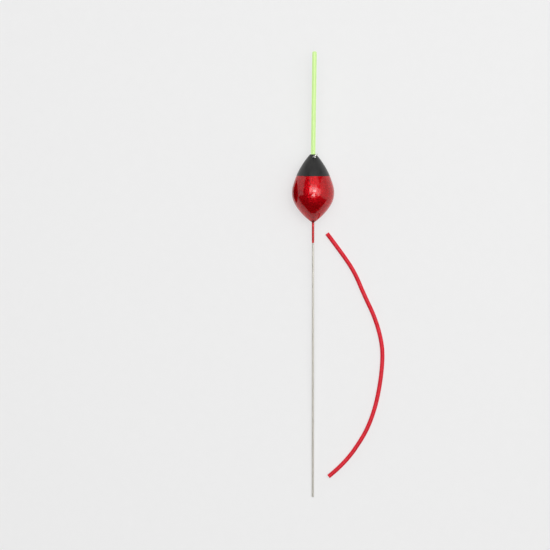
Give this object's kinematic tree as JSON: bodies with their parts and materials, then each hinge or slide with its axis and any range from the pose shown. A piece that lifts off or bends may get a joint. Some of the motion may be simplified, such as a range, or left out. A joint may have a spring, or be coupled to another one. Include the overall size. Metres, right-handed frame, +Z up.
{
  "type": "bobber float",
  "caption": "Slim pole fishing float lying on a table: teardrop red and black body, wire stem, hollow green antenna, wire line eye, and a loose silicone tube for stem sleeves.",
  "frame": {"origin": "on the table, Z = 0, under the middle of the float's box, which leaves out the loose tube", "axes": "+Z up from the table, +Y towards the antenna's tip, +X to the right"},
  "size_m": [0.0418, 0.2, 0.019],
  "materials": {
    "steel_wire": "drawn",
    "bright_wire": "bright drawn",
    "red_lacquer": "metallic flake under clear gloss",
    "black_lacquer": "satin",
    "green_plastic": "fluorescent, slightly see-through",
    "clear_glue": "cured epoxy",
    "balsa": "turned and sanded",
    "white_sealer": "flat",
    "red_silicone": "satin, slightly see-through"
  },
  "bodies": {
    "float": {"stem_wire": "steel_wire", "stem_paint": "red_lacquer", "stem_glue": "clear_glue", "balsa_core": "balsa", "sealer_coat": "white_sealer", "red_coat": "red_lacquer", "black_cap": "black_lacquer", "antenna_tube": "green_plastic", "antenna_glue": "clear_glue", "antenna_cap": "green_plastic", "line_eye": "bright_wire", "eye_glue": "clear_glue"},
    "loose_tube": {"silicone_tube": "red_silicone"}
  },
  "joints": [
    {"name": "tube_lift", "type": "slide", "parent": "float", "child": "loose_tube", "axis": [0, 0, 1], "range_m": [0, 0.03]}
  ]
}
